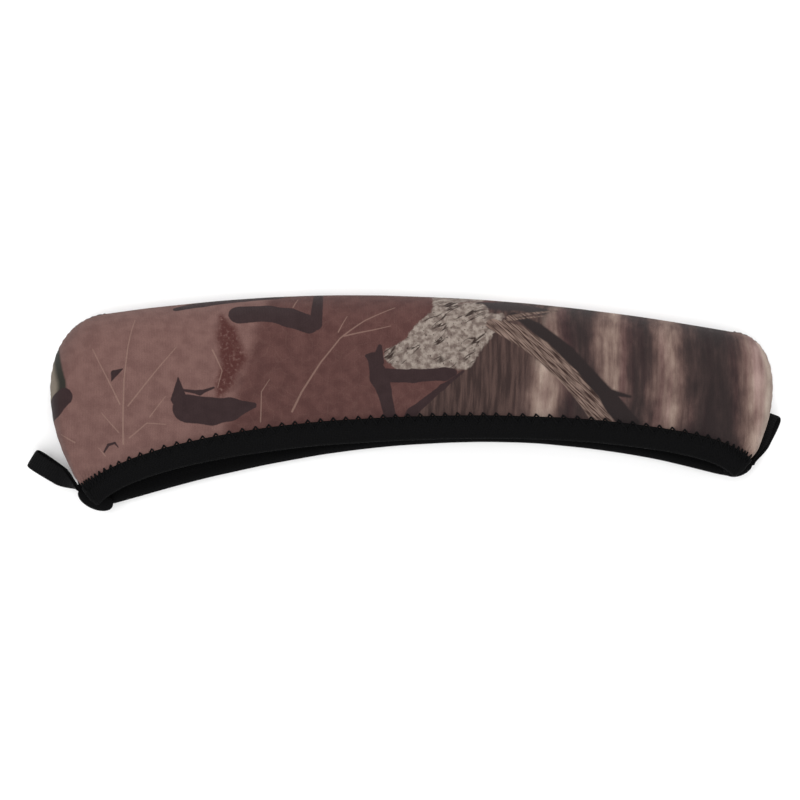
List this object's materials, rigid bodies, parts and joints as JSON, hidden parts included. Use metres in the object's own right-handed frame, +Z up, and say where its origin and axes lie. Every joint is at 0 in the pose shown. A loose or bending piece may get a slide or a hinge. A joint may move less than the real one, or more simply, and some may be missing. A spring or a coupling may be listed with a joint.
{
  "type": "neoprene scope cover",
  "caption": "Curved neoprene sleeve that stretches over a rifle scope, with a camouflage print, a bound mouth and a pull loop at each end.",
  "frame": {"origin": "on the table, under the middle of the sleeve's footprint, loops included", "axes": "the cover lies on its right side: +X from the objective end to the eyepiece end, +Y from the mouth to the crown, +Z up"},
  "size_m": [0.3694, 0.1037, 0.039],
  "materials": {
    "printed_jersey": "matt knitted polyester, woodland print",
    "neoprene_foam": "closed-cell foam, seen only at cut edges",
    "lining_jersey": "matt black knit",
    "binding_elastic": "matt black fold-over elastic",
    "sewing_thread": "black polyester thread",
    "loop_elastic": "black ribbed elastic"
  },
  "bodies": {
    "right_side": {"right_face_fabric": "printed_jersey", "right_foam_core": "neoprene_foam", "right_lining_fabric": "lining_jersey", "right_mouth_binding": "binding_elastic", "right_binding_stitching": "sewing_thread", "objective_end_seam_thread": "sewing_thread", "eyepiece_end_seam_thread": "sewing_thread"},
    "left_side": {"left_face_fabric": "printed_jersey", "left_foam_core": "neoprene_foam", "left_lining_fabric": "lining_jersey", "left_mouth_binding": "binding_elastic", "left_binding_stitching": "sewing_thread"},
    "objective_loop": {"objective_pull_loop": "loop_elastic"},
    "eyepiece_loop": {"eyepiece_pull_loop": "loop_elastic"}
  },
  "joints": [
    {"name": "mouth_spread", "type": "hinge", "parent": "right_side", "child": "left_side", "pos_m": [0, 0.05208, 0.016], "axis": [-1, 0, 0], "range_deg": [0, 30], "stiffness_Nm_per_rad": 0.1},
    {"name": "objective_loop_swing", "type": "hinge", "parent": "right_side", "child": "objective_loop", "pos_m": [-0.16253, -0.04305, 0.016], "axis": [0, 0, 1], "range_deg": [-8, 60], "stiffness_Nm_per_rad": 0.004},
    {"name": "eyepiece_loop_swing", "type": "hinge", "parent": "right_side", "child": "eyepiece_loop", "pos_m": [0.16908, -0.03007, 0.016], "axis": [0, 0, 1], "range_deg": [-60, 0], "stiffness_Nm_per_rad": 0.004}
  ]
}
